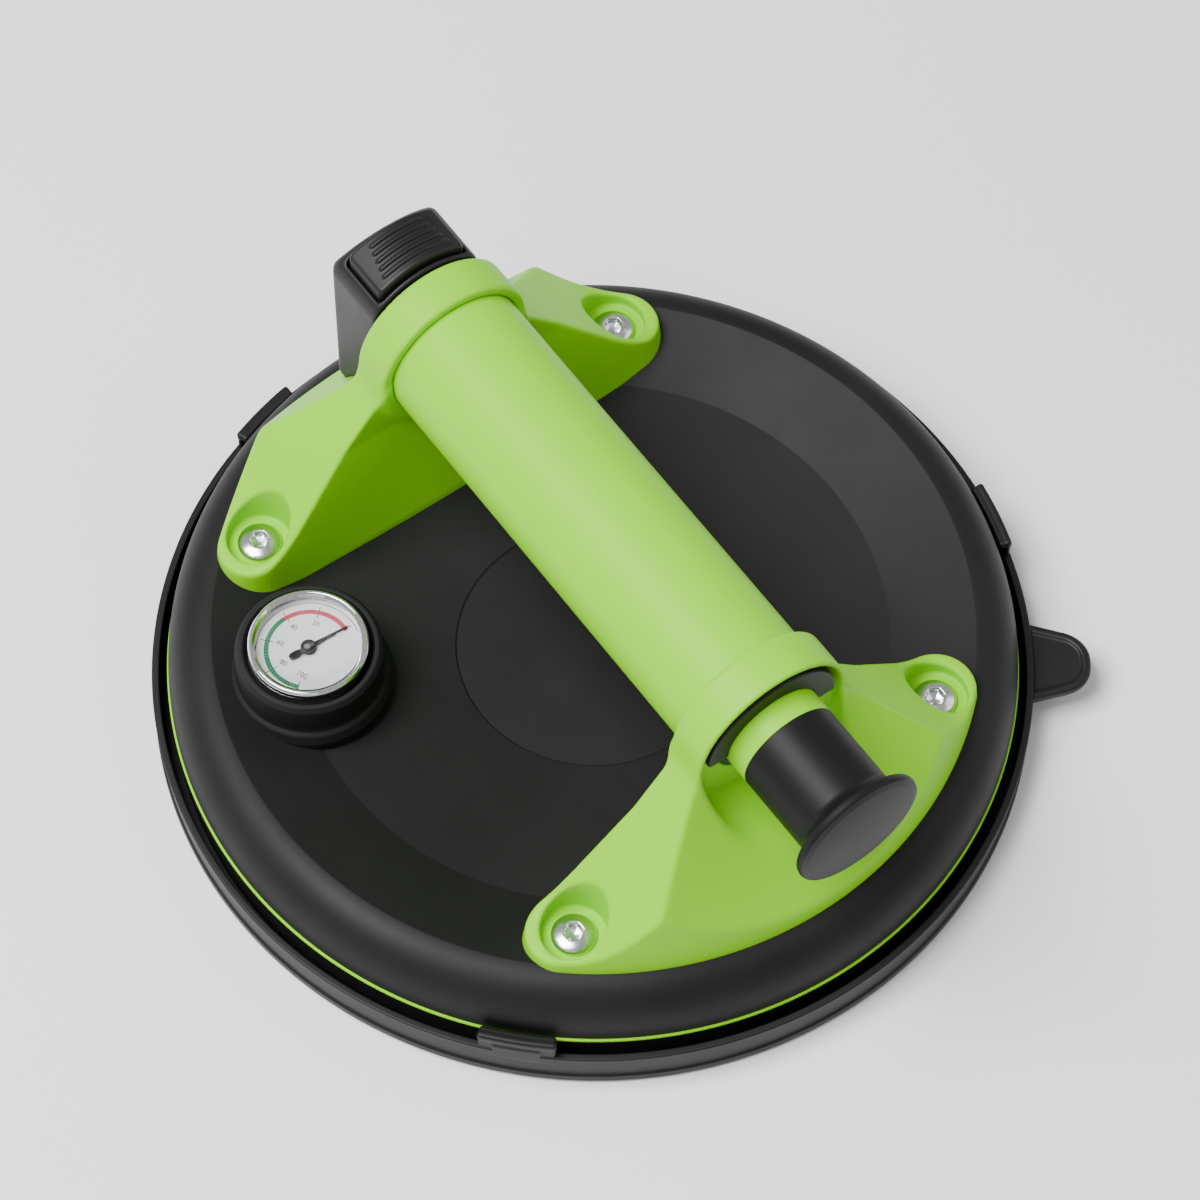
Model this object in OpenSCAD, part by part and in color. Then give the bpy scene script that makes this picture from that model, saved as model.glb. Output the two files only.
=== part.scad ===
// Vacuum suction-cup lifter with a hand pump built into its handle.
// Millimetres. Origin at the middle of the base, +Z up, handle along Y,
// pump plunger towards -Y, gauge on the -X side.

/* [Cup] */
// Radius of the rubber pad and the mounting plate
cup_r = 99.8; // [99.5:0.1:100]
// Height of the mounting plate's lower face above the base
plate_z = 14.5; // [14:0.5:15]
// Height of the plate's raised rim above its lower face
rim_h = 14.5; // [13:0.5:15]
// Wall thickness of the plate's rim
rim_wall = 4.3; // [3.5:0.1:5]

/* [Handle] */
// Height of the handle's axis above the base
axis_z = 75; // [74:0.5:78]
// Outer radius of the grip
grip_r = 17.25; // [16.5:0.25:18]
// Half the length of the grip that shows between the collars
grip_half = 55; // [54:0.5:56]
// Outer radius of the collars
collar_r = 20; // [19.5:0.25:21]
// Wall thickness of the hollow feet
foot_wall = 3; // [2.5:0.25:3.5]
// Distance of the foot screws from the middle across the handle
screw_x = 51.4; // [50:0.2:52]
// Distance of the foot screws from the middle along the handle
screw_y = 62.8; // [62:0.2:63.4]

/* [Pump] */
// Bore radius of the pump barrel
barrel_bore_r = 13.5; // [13.3:0.1:13.6]
// Outer radius of the plunger
plunger_r = 12; // [11.5:0.1:12.2]
// Stroke of the plunger
stroke = 25; // [15:1:25]
// Radius of the plunger's knob
knob_r = 16; // [14:0.5:16.5]
// Turns of the return spring
spring_turns = 18; // [10:1:20]

/* [Gauge] */
// Position of the gauge across the handle
gauge_x = -60.6; // [-61:0.2:-60]
// Position of the gauge along the handle
gauge_y = 28.8; // [28:0.2:30]
// Outer radius of the gauge's rubber boot
boot_r = 17.5; // [17:0.1:18]

/* [Release valve] */
// Travel of the release button
button_travel = 3; // [2:0.5:3]
// Half the width of the release button
button_half_w = 11.7; // [10:0.1:11.7]

/* [Pad cover] */
// Outer radius of the protective cover
cover_r = 104; // [103.8:0.1:104.4]
// Height of the cover's wall
cover_h = 12; // [11:0.5:12.5]
// Width of each retaining clip, in degrees of arc
clip_arc = 10; // [8:1:14]

/* [Hidden] */
$fn = 96;
eps = 0.02;
fit = 0.05;

black = "#2a2a2b";
rubber = "#1c1c1c";
lime = "#96f03c";
steel = "silver";

// Plate: the top surface as [radius, height] from the rim inwards
rim_x = 10.8;
rim_peak_r = cup_r - rim_x;
rim_top_z = plate_z + rim_h;
crease_r = 69.5;
crease_z = 23;
dish_r = 32;
dish_z = 18.5;
core_z = 18;
rim_arc = [for (a = [0:10:90]) [rim_peak_r + rim_x * cos(a), rim_top_z - 13 + 13 * sin(a)]];

// Screws and their seats
screw_spots = [for (sx = [-1, 1]) for (sy = [-1, 1]) [sx * screw_x, sy * screw_y]];
landing_z = 24.5;
landing_r = 9.8;
seat_z = 28.4;
pocket_r = 7.8;
shank_r = 3;
head_r = 5.2;
head_h = 3.3;
insert_r = 4;
insert_bottom_z = 15.5;

// Feet
foot_r = norm([screw_x, screw_y]) + 9.45;
corner_r = 9;
wall_top_z = 51;
wall_draft = 4.2;
collar_face = 65.5;
inner_edge = 52.6;
bore_r = grip_r + fit;
web_y0 = 60.5;
web_y1 = 63.5;
web_hole_r = 13.6;
scoop_r = 17.4;
scoop_tilt = 26;
scoop_y = 60;
flank = [[20.5, 70.5], [24, 66], [28.5, 60.5], [33, 55], [37.5, 49.5], [42, 44.5],
    [46, 40.5], [50.5, 36.8], [56, 33.4], [64, 31.5]];
apron = [[collar_face, 70], [68, 65.5], [71, 60.3], [74, 55.8], [78, 50.4], [82, 45.8], [86, 41.6],
    [foot_r, 37.2]];

// Pump parts along the handle's axis
barrel_wall = 1.7;
barrel_y0 = -60;
barrel_y1 = 58;
bush_y0 = -65.3;
bush_y1 = -52;
spigot_r = barrel_bore_r - fit;
spigot_y = 54;
knob_face_y = -97.8;
knob_back_y = -93.5;
plunger_in_r = 9.5;
plunger_y1 = 20;
piston_y1 = 27;
band_y0 = -71;
band_y1 = -63;
band_depth = 0.6;
spring_r = 7;
spring_wire = 0.6;

// Valve block and air way
block_half_w = 14.5;
block_z0 = 45;
block_y0 = 65.8;
block_y1 = 84;
block_top_r = 20;
air_z = 69;
air_r = 1.8;
riser_y = 70.5;
riser_r = 4.5;
riser_bore_r = 2.2;
riser_top_z = 58;
nipple_z0 = 50;
release_y = 74;
chamber_r = 5.2;
valve_seat_z = 72;
window_floor_z = 83;
button_bottom_z = 86.5;
button_y0 = 67.4;
button_y1 = 80.3;
button_top_r = 22;
button_gap = 0.4;
stem_r = 1.95;
stem_guide_r = 2.03;
ball_r = 2.8;
ball_chamber_r = 3.2;
ball_y = 61.7;
ball_seat_y = 64;
cage_y1 = 54.8;

// Pad
recess_z = 8.5;
filter_r = 9;

// Gauge heights
case_floor_z = 28;
case_r = 13.7;
case_top_z = 38.2;
dial_z = 36.2;
lens_z = 38.5;
lens_h = 0.8;
lens_r = 12.95;
bezel_r = 14;
boot_top_z = 38;
stem_thread_r = 5;
flange_z = 21.7;
flange_r = 7.2;
needle_z = 37.2;
needle_angle = -3;

// --- helpers ---

module about_axis() translate([0, 0, axis_z]) rotate([-90, 0, 0]) children();

module at_gauge() translate([gauge_x, gauge_y, 0]) children();

// Ring about the handle's axis, from y0 to y1
module axis_ring(r_out, r_in, y0, y1) {
    about_axis() translate([0, 0, y0]) difference() {
        cylinder(r = r_out, h = y1 - y0);
        translate([0, 0, -1]) cylinder(r = r_in, h = y1 - y0 + 2);
    }
}

// Outline in X and Z, extruded from y0 to y1
module front_view(y0, y1) translate([0, y1, 0]) rotate([90, 0, 0]) linear_extrude(y1 - y0) children();

// Outline in Y and Z, extruded across the middle
module side_view(half) translate([-half, 0, 0]) rotate([90, 0, 90]) linear_extrude(2 * half) children();

// Vertical ring with a round section
module o_ring(r_mid, r_wire) rotate_extrude() translate([r_mid, 0]) circle(r = r_wire, $fn = 32);

// Point on the wall of a coiled wire
function coil_point(turn, side, r_mid, r_wire, pitch) =
    let (a = 360 * turn, s = 60 * side, r = r_mid + r_wire * cos(s))
    [r * cos(a), r * sin(a), turn * pitch + r_wire * sin(s)];

// Coil spring about Z, from 0 to length
module coil(r_mid, r_wire, turns, length) {
    steps = 12 * turns;
    pitch = (length - 2 * r_wire) / turns;
    points = [for (i = [0:steps]) for (k = [0:5]) coil_point(i / 12, k, r_mid, r_wire, pitch)];
    walls = [for (i = [0:steps - 1]) for (k = [0:5]) let (n = (k + 1) % 6, a = 6 * i)
        each [[a + k, a + n, a + 6 + n], [a + k, a + 6 + n, a + 6 + k]]];
    first_end = [for (k = [5:-1:0]) k];
    last_end = [for (k = [0:5]) 6 * steps + k];
    translate([0, 0, r_wire]) polyhedron(points, concat([first_end], walls, [last_end]));
}

// Everything below the plate's top surface
module plate_mass(lift = 0) {
    translate([0, 0, lift]) rotate_extrude($fn = 180) polygon(concat(
        [[0, plate_z], [cup_r, plate_z]], rim_arc,
        [[crease_r, crease_z], [dish_r, dish_z], [dish_r - 0.6, core_z], [0, core_z]]));
}

// --- cup ---

module clip_section() polygon([[cover_r - 1.5, cover_h - 2], [cover_r - 0.3, cover_h - 2],
    [cover_r - 0.3, 16.6], [cover_r - 1, 17.4], [100.8, 17.2], [100.8, 15.6], [cover_r - 1.5, 15.2]]);

module pull_tab() {
    rotate([0, 0, -36]) translate([0, 0, 8.5]) linear_extrude(2.5)
        polygon([[cover_r - 1, -10], [113, -8.5], [117.2, -6], [117.8, 0], [117.2, 6],
            [113, 8.5], [cover_r - 1, 10]]);
}

module pad_cover() {
    color(black) union() {
        rotate_extrude($fn = 180) polygon([[0, 0], [cover_r - 1.5, 0], [cover_r, 1.5], [cover_r, cover_h],
            [cover_r - 1.8, cover_h], [cover_r - 1.8, 2], [0, 2]]);
        for (a = [-135.7, -15, 105])
            rotate([0, 0, a - clip_arc / 2]) rotate_extrude(angle = clip_arc, $fn = 180) clip_section();
        pull_tab();
    }
}

module rubber_pad() {
    color(rubber) difference() {
        rotate_extrude($fn = 180) polygon([[0, recess_z], [80, recess_z], [86, 7.5], [90, 2.8], [91, 2.3],
            [98.8, 2.3], [cup_r, 3.3], [cup_r, plate_z - 1], [93.5, plate_z - 1], [93.5, plate_z],
            [0, plate_z]]);
        translate([0, riser_y, 0]) cylinder(r = riser_r, h = 20);
        at_gauge() cylinder(r = stem_thread_r, h = 20);
    }
}

module edge_ring() {
    color(lime) translate([0, 0, plate_z - 1]) difference() {
        cylinder(r = cup_r + 0.4, h = 1, $fn = 180);
        translate([0, 0, -1]) cylinder(r = 93.5, h = 3, $fn = 180);
    }
}

module plate_underside() {
    rotate_extrude($fn = 180) polygon([[60, plate_z - 1], [60, plate_z], [66, plate_z + 4],
        [86, 24.6], [91, 24.8], [cup_r - rim_wall, 20], [cup_r - rim_wall, plate_z - 1]]);
}

module plate_ribs() {
    intersection() {
        plate_mass(-0.5);
        for (a = [0:30:330]) if (a != 90 && a != 150)
            rotate([0, 0, a]) translate([58, -1.2, plate_z + 1]) cube([39, 2.4, 12]);
    }
}

module plate_bosses() {
    intersection() {
        plate_mass(-eps);
        translate([0, 0, plate_z]) union() {
            for (p = screw_spots) translate(p) cylinder(r = landing_r + 1, h = 15);
            translate([0, riser_y]) cylinder(r = 9, h = 15);
            at_gauge() cylinder(r = 11, h = 15);
        }
    }
}

module mounting_plate() {
    color(black) difference() {
        union() {
            difference() {
                plate_mass();
                plate_underside();
            }
            plate_ribs();
            plate_bosses();
        }
        for (p = screw_spots) translate(p) {
            translate([0, 0, landing_z]) cylinder(r = landing_r, h = 10);
            translate([0, 0, insert_bottom_z]) cylinder(r = insert_r, h = 10);
        }
        translate([0, riser_y, 0]) cylinder(r = riser_r, h = 40);
        at_gauge() {
            cylinder(r = stem_thread_r, h = 40);
            translate([0, 0, 19.5]) cylinder(r = flange_r + 0.2, h = 10);
        }
    }
}

module threaded_inserts() {
    color("goldenrod") for (p = screw_spots) translate([p[0], p[1], insert_bottom_z]) difference() {
        cylinder(r = insert_r, h = landing_z - insert_bottom_z);
        translate([0, 0, -1]) cylinder(r = shank_r, h = 20);
    }
}

// --- handle ---

function flank_points(inset) = [for (p = flank) [p[0] - inset, p[1] - inset]];

module foot_front_outline(inset) {
    right = concat([for (a = [90:-10:-10]) (collar_r - inset) * [cos(a), sin(a)] + [0, axis_z]],
        flank_points(inset), [[64 - inset, 15]]);
    left = [for (i = [len(right) - 1:-1:1]) [-right[i][0], right[i][1]]];
    polygon(concat(right, left));
}

// Plan of the front foot, with rounded ears
module foot_plan(inset) {
    corner_y = inner_edge + corner_r;
    corner_x = sqrt(pow(foot_r - corner_r, 2) - pow(corner_y, 2));
    span = [corner_x, -corner_y] * 1.5;
    intersection() {
        circle(r = foot_r - inset, $fn = 180);
        polygon([[-corner_x, -inner_edge], [corner_x, -inner_edge], [corner_x, -corner_y], span,
            [-span[0], span[1]], [-corner_x, -corner_y]]);
    }
    for (s = [-1, 1]) translate([s * corner_x, -corner_y]) circle(r = corner_r - inset);
}

// Outer wall, which leans in with height
module foot_wall_mass(inset) {
    rotate_extrude($fn = 180) polygon([[0, 15], [foot_r + 1, 15], [foot_r + 1, 20], [foot_r - inset, 26],
        [foot_r - wall_draft - inset, wall_top_z], [foot_r - wall_draft - inset, 100], [0, 100]]);
}

// Front slope, from the collar down to the outer wall
module foot_apron(inset) {
    side_view(80) polygon(concat([[0, 15], [0, 100], [inset - collar_face, 100]],
        [for (p = apron) [inset - p[0], p[1] - inset]], [[-foot_r - 1, 36 - inset], [-foot_r - 1, 15]]));
}

module foot_body(inset) {
    intersection() {
        translate([0, 0, 15]) linear_extrude(90) foot_plan(inset);
        front_view(-100, 0) foot_front_outline(inset);
        foot_wall_mass(inset);
        foot_apron(inset);
    }
}

// Room for the plunger and the scoop below it
module scoop(extra) {
    intersection() {
        union() {
            about_axis() translate([0, 0, -105]) cylinder(r = scoop_r + extra, h = 60);
            translate([0, -scoop_y, axis_z]) rotate([90 + scoop_tilt, 0, 0]) cylinder(r = scoop_r + extra, h = 70);
        }
        translate([-40, -110, 30]) cube([80, 110 - web_y1 + extra, 80]);
    }
}

module foot_bores() {
    about_axis() translate([0, 0, -web_y0]) cylinder(r = bore_r, h = 20);
    about_axis() translate([0, 0, -web_y1 - 1]) cylinder(r = web_hole_r, h = 20);
    intersection() {
        about_axis() translate([0, 0, -80]) cylinder(r = bore_r, h = 40);
        translate([-40, -90, axis_z]) cube([80, 60, 40]);
    }
}

module foot_hollow() {
    difference() {
        foot_body(foot_wall);
        about_axis() translate([0, 0, -110]) cylinder(r = bore_r + 2.6, h = 120);
        scoop(foot_wall);
        translate([-70, -inner_edge - foot_wall - 3, 0]) cube([140, 20, 120]);
        for (s = [-1, 1]) translate([s * screw_x, -screw_y, 0]) cylinder(r = landing_r + 0.8, h = 80);
    }
}

module foot() {
    difference() {
        foot_body(0);
        foot_hollow();
        scoop(0);
        foot_bores();
        side_view(80) polygon([[-inner_edge + 0.6, 15], [-inner_edge, 30], [-grip_half, 62],
            [-grip_half, 110], [0, 110], [0, 15]]);
        plate_mass(eps);
        for (s = [-1, 1]) translate([s * screw_x, -screw_y, 0]) {
            translate([0, 0, seat_z]) cylinder(r = pocket_r, h = 40);
            cylinder(r = shank_r + 0.4, h = 60);
        }
    }
    for (s = [-1, 1]) translate([s * screw_x, -screw_y, landing_z]) difference() {
        cylinder(r = landing_r - fit, h = seat_z - landing_z);
        translate([0, 0, -1]) cylinder(r = shank_r + 0.4, h = 10);
    }
}

module front_foot() color(lime) foot();

module rear_foot() color(lime) difference() {
    mirror([0, 1, 0]) foot();
    translate([-block_half_w - 0.2, web_y1 + 0.3, block_z0 - 0.2]) cube([2 * block_half_w + 0.4, 40, 60]);
    translate([0, riser_y, 0]) cylinder(r = riser_r + 0.3, h = nipple_z0 + 1);
}

module grip_tube() color(lime)
    axis_ring(grip_r, barrel_bore_r + barrel_wall + fit, barrel_y0, -barrel_y0);

module foot_screws() {
    color(steel) for (p = screw_spots) translate([p[0], p[1], seat_z]) difference() {
        union() {
            translate([0, 0, 17 - seat_z]) cylinder(r = shank_r, h = seat_z - 17 + 1);
            cylinder(r = head_r, h = head_h - 1.5);
            intersection() {
                cylinder(r = head_r, h = head_h);
                translate([0, 0, head_h - 6]) sphere(r = 6);
            }
        }
        translate([0, 0, head_h - 2]) cylinder(r = 2.3, h = 3, $fn = 6);
    }
}

// --- pump ---

module pump_barrel() color("lightgray")
    axis_ring(barrel_bore_r + barrel_wall, barrel_bore_r, barrel_y0, barrel_y1);

module guide_bush() {
    color(black) difference() {
        union() {
            about_axis() translate([0, 0, -web_y1]) cylinder(r = spigot_r, h = web_y1 + bush_y1);
            intersection() {
                about_axis() translate([0, 0, bush_y0]) cylinder(r = bore_r - fit, h = -bush_y0 - web_y0);
                translate([-30, -80, axis_z + 0.1]) cube([60, 60, 40]);
            }
        }
        about_axis() translate([0, 0, -80]) cylinder(r = plunger_r + fit, h = 60);
        about_axis() translate([0, 0, -57]) cylinder(r = plunger_r + 0.9, h = 1.8);
    }
}

module wiper_seal() color(rubber) axis_ring(plunger_r + 0.88, plunger_r + 0.08, -56.95, -55.25);

module head_oring() color(rubber) about_axis() translate([0, 0, 56.2]) o_ring(spigot_r - 0.75, 0.75);

module block_outline() {
    intersection() {
        translate([0, axis_z]) circle(r = block_top_r);
        translate([-block_half_w, axis_z]) square([2 * block_half_w, 30]);
    }
    translate([-block_half_w, block_z0]) square([2 * block_half_w, axis_z - block_z0 + eps]);
}

module block_side() polygon([[block_y0, 100], [block_y1 - 3, 100], [block_y1, 90], [block_y1, block_z0 + 2],
    [block_y1 - 2, block_z0], [77.5, block_z0], [71, 54], [block_y0, 68]]);

module valve_block() {
    color(black) difference() {
        union() {
            intersection() {
                front_view(60, 90) block_outline();
                side_view(20) block_side();
            }
            about_axis() translate([0, 0, spigot_y]) cylinder(r = spigot_r, h = 14);
            translate([0, riser_y, nipple_z0]) cylinder(r = 6, h = 14);
        }
        // groove for the head ring
        axis_ring(spigot_r + 1, spigot_r - 1.5, 55.4, 57);
        // check valve chamber and air way
        translate([0, 0, air_z]) rotate([-90, 0, 0]) {
            translate([0, 0, spigot_y - 1]) cylinder(r = ball_chamber_r, h = ball_seat_y - spigot_y + 1);
            translate([0, 0, spigot_y]) cylinder(r = air_r, h = riser_y - spigot_y);
        }
        translate([0, riser_y, nipple_z0 - 1]) cylinder(r = riser_bore_r, h = air_z - nipple_z0 + 1);
        translate([0, riser_y, nipple_z0 - 1]) cylinder(r = riser_r, h = riser_top_z - nipple_z0 + 1);
        // release valve
        translate([0, release_y, 60]) cylinder(r = chamber_r, h = valve_seat_z - 60);
        translate([0, release_y, 60]) cylinder(r = 3.2, h = 14);
        translate([0, release_y, 60]) cylinder(r = stem_guide_r, h = 30);
        translate([0, release_y, 79]) cylinder(r = chamber_r, h = 10);
        translate([0, release_y, 73]) rotate([-90, 0, 0]) cylinder(r = 1, h = 20);
        translate([-button_half_w - button_gap, button_y0 - button_gap, window_floor_z])
            cube([2 * (button_half_w + button_gap), button_y1 - button_y0 + 2 * button_gap, 30]);
    }
}

module valve_cage() {
    color(steel) translate([0, spigot_y, air_z]) rotate([-90, 0, 0]) difference() {
        cylinder(r = ball_chamber_r, h = cage_y1 - spigot_y);
        translate([0, 0, -1]) cylinder(r = 1.2, h = 4);
    }
}

module air_riser() {
    color("dimgray") translate([0, riser_y, recess_z]) difference() {
        cylinder(r = riser_r, h = riser_top_z - recess_z);
        translate([0, 0, -1]) cylinder(r = riser_bore_r, h = 60);
    }
}

module filter_holder() {
    color(black) translate([0, riser_y, recess_z - 3]) difference() {
        cylinder(r = filter_r, h = 3);
        translate([0, 0, -1]) cylinder(r = filter_r - 1.5, h = 3);
        cylinder(r = riser_bore_r, h = 10);
    }
}

module felt_filter() color("whitesmoke")
    translate([0, riser_y, recess_z - 2.9]) cylinder(r = filter_r - 1.5 - fit, h = 1.8);

module plunger_tube() {
    color(black) about_axis() difference() {
        rotate_extrude() polygon([[0, knob_face_y], [8, knob_face_y + 0.2], [knob_r - 1.5, knob_face_y + 0.9],
            [knob_r - 0.2, knob_face_y + 1.8], [knob_r, knob_face_y + 2.6], [knob_r - 0.4, knob_back_y],
            [knob_r - 2, knob_back_y + 0.9], [plunger_r + 0.9, knob_back_y + 2.2],
            [plunger_r + 0.25, knob_back_y + 2.7], [plunger_r, knob_back_y + 3], [plunger_r, band_y0],
            [plunger_r - band_depth, band_y0], [plunger_r - band_depth, band_y1], [plunger_r, band_y1],
            [plunger_r, plunger_y1], [0, plunger_y1]]);
        translate([0, 0, -88]) cylinder(r = plunger_in_r, h = 120);
    }
}

module plunger_band() color(lime) axis_ring(plunger_r, plunger_r - band_depth, band_y0, band_y1);

module piston_head() {
    color("dimgray") about_axis() difference() {
        rotate_extrude() polygon([[8.2, 12], [plunger_in_r, 12], [plunger_in_r, plunger_y1],
            [spigot_r - 0.3, plunger_y1], [spigot_r - 0.3, 21.5], [10.5, 21.5], [10.5, 25.5],
            [spigot_r - 0.3, 25.5], [spigot_r - 0.3, piston_y1], [8.2, piston_y1]]);
    }
}

module piston_cup() color(rubber) axis_ring(barrel_bore_r - 0.07, 10.5, 21.5, 25.5);

module piston_guide_ring() color("ivory") axis_ring(barrel_bore_r - 0.07, plunger_r, 15, 19);

module pump_spring() color(steel)
    about_axis() translate([0, 0, -88]) coil(spring_r, spring_wire, spring_turns, spigot_y + 88);

module check_ball() color(steel) translate([0, ball_y, air_z]) sphere(r = ball_r);

module check_spring() color(steel) translate([0, cage_y1, air_z]) rotate([-90, 0, 0])
    coil(1.9, 0.25, 4, ball_y - 2.3 - cage_y1);

// --- release valve ---

module release_button() {
    depth = button_y1 - button_y0;
    color(black) difference() {
        union() {
            intersection() {
                about_axis() translate([0, 0, button_y0]) cylinder(r = button_top_r, h = depth);
                translate([-button_half_w, button_y0 - 1, button_bottom_z]) cube([2 * button_half_w, 20, 30]);
            }
            for (i = [0:4]) intersection() {
                about_axis() translate([0, 0, button_y0 + 2 + 2 * i]) cylinder(r = button_top_r + 0.5, h = 0.9);
                translate([-8, button_y0, button_bottom_z]) cube([16, 20, 30]);
            }
        }
        translate([0, release_y, button_bottom_z - 1]) cylinder(r = chamber_r, h = 4.5);
        translate([0, release_y, button_bottom_z - 1]) cylinder(r = stem_r, h = 7);
    }
}

module valve_stem() color(steel)
    translate([0, release_y, 68]) cylinder(r = stem_r, h = button_bottom_z + 6 - 68);

module release_poppet() {
    color(rubber) translate([0, release_y, valve_seat_z - 2.8]) difference() {
        cylinder(r = 4.4, h = 2.5);
        translate([0, 0, -1]) cylinder(r = stem_r, h = 5);
    }
}

module button_spring() color(steel)
    translate([0, release_y, 79]) coil(3.6, 0.4, 5, button_bottom_z + 3.5 - 79);

// --- gauge ---

module gauge_boot() {
    color(rubber) difference() {
        at_gauge() rotate_extrude() polygon([[flange_r + 0.2, 20], [boot_r + 2, 20], [boot_r + 2, 26],
            [boot_r + 1.3, 27.6], [boot_r + 0.3, 28.6], [boot_r, 30], [boot_r, 36.6],
            [boot_r - 0.9, boot_top_z], [boot_r - 1.9, boot_top_z], [boot_r - 2.3, boot_top_z - 0.8],
            [boot_r - 2.3, 35.5], [case_r + fit, 35.5], [case_r + fit, case_floor_z],
            [flange_r + 0.2, case_floor_z]]);
        plate_mass(eps);
    }
}

module gauge_case() {
    color(steel) at_gauge() translate([0, 0, case_floor_z]) difference() {
        cylinder(r = case_r, h = case_top_z - case_floor_z);
        translate([0, 0, 1.2]) cylinder(r = case_r - 0.7, h = 12);
        translate([0, 0, -1]) cylinder(r = stem_thread_r, h = 4);
    }
}

module gauge_dial() {
    color("white") at_gauge() translate([0, 0, dial_z]) difference() {
        cylinder(r = case_r - 0.75, h = 0.6);
        translate([0, 0, -1]) cylinder(r = 1.2, h = 3);
    }
}

module gauge_lens() color("lightblue", 0.4)
    at_gauge() translate([0, 0, lens_z]) cylinder(r = lens_r, h = lens_h);

module gauge_bezel() {
    seat = lens_z + lens_h + fit;
    color("gainsboro") at_gauge() rotate_extrude() polygon([[lens_r - 0.7, seat], [lens_r + fit, seat],
        [lens_r + fit, case_top_z + fit], [bezel_r, case_top_z + fit], [bezel_r, seat + 0.2],
        [bezel_r - 0.5, seat + 0.9], [lens_r + 0.1, seat + 0.9], [lens_r - 0.7, seat + 0.4]]);
}

module gauge_stem() {
    color("goldenrod") at_gauge() difference() {
        union() {
            translate([0, 0, 9]) cylinder(r = stem_thread_r, h = 20.4);
            translate([0, 0, flange_z]) cylinder(r = flange_r, h = 2.2);
        }
        cylinder(r = 1.2, h = 28.5);
    }
}

module stem_oring() color(rubber) at_gauge() translate([0, 0, 20.6]) o_ring(6.1, 1);

module bourdon_tube() {
    color("goldenrod") at_gauge() translate([0, 0, 31.4]) rotate([0, 0, -60])
        rotate_extrude(angle = 285) translate([10.4, 0]) circle(r = 1.2, $fn = 32);
}

module gauge_movement() {
    color("khaki") at_gauge() translate([0, 0, 29.6]) difference() {
        union() {
            translate([-6, -4, 0]) cube([12, 8, 1]);
            translate([-6, -4, 2.8]) cube([12, 8, 0.8]);
            for (s = [-1, 1]) translate([4.6 * s, 0, 0]) cylinder(r = 0.9, h = 3);
        }
        translate([0, 0, -1]) cylinder(r = 0.75, h = 8);
    }
}

module gauge_needle() {
    color("black") at_gauge() translate([0, 0, needle_z]) rotate([0, 0, needle_angle]) difference() {
        union() {
            linear_extrude(0.4) polygon([[-5, -0.7], [-4, -0.9], [0, -0.8], [10.5, 0], [0, 0.8], [-4, 0.9],
                [-5, 0.7]]);
            cylinder(r = 1.9, h = 0.9);
        }
        translate([0, 0, -1]) cylinder(r = 0.7, h = 4);
    }
}

module needle_shaft() color(steel) at_gauge() translate([0, 0, 29.8]) cylinder(r = 0.7, h = needle_z + 1 - 29.8);

pad_cover();
rubber_pad();
edge_ring();
mounting_plate();
threaded_inserts();
front_foot();
rear_foot();
grip_tube();
foot_screws();
pump_barrel();
guide_bush();
wiper_seal();
head_oring();
valve_block();
valve_cage();
air_riser();
filter_holder();
felt_filter();
plunger_tube();
plunger_band();
piston_head();
piston_cup();
piston_guide_ring();
pump_spring();
check_ball();
check_spring();
release_button();
valve_stem();
release_poppet();
button_spring();
gauge_boot();
gauge_case();
gauge_dial();
gauge_lens();
gauge_bezel();
gauge_stem();
stem_oring();
bourdon_tube();
gauge_movement();
gauge_needle();
needle_shaft();
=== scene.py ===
"""Looks of the hand vacuum pump: a suction-cup lifter with a pump in its handle.

Lengths are in millimetres in the row frame until a mesh is made, which scales them to metres.
"""

import math

import bmesh
import bpy
import numpy as np
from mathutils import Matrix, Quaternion, Vector


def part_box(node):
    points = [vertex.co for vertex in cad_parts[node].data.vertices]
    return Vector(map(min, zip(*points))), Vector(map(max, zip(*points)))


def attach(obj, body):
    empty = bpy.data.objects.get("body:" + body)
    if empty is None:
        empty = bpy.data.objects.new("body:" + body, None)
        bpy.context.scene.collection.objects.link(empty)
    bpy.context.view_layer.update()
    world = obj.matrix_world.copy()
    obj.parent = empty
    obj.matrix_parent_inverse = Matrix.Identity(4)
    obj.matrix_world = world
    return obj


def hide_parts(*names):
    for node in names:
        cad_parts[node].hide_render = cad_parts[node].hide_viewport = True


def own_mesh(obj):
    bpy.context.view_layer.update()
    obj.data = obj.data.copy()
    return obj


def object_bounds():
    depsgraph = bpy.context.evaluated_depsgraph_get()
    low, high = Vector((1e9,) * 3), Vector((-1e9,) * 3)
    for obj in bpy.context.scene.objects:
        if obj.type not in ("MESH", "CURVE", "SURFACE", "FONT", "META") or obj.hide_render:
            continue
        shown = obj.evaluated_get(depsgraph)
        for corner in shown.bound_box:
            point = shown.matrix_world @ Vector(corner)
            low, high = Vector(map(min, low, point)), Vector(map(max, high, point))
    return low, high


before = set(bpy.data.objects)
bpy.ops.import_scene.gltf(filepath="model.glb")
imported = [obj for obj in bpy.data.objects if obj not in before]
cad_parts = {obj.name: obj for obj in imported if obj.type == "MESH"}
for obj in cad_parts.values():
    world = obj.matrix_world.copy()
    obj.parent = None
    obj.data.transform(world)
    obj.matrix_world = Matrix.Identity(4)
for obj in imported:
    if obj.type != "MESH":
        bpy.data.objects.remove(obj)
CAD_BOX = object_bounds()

MM = 0.001

# ---------------------------------------------------------------- sizes, from the frame


def middle(node):
    """Middle of a CAD node's box, in millimetres."""
    lo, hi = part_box(node)
    return (np.array(lo) + np.array(hi)) / 2 / MM


def extent(node):
    """Lowest and highest corner of a CAD node's box, in millimetres."""
    lo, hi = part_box(node)
    return np.array(lo) / MM, np.array(hi) / MM


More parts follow.
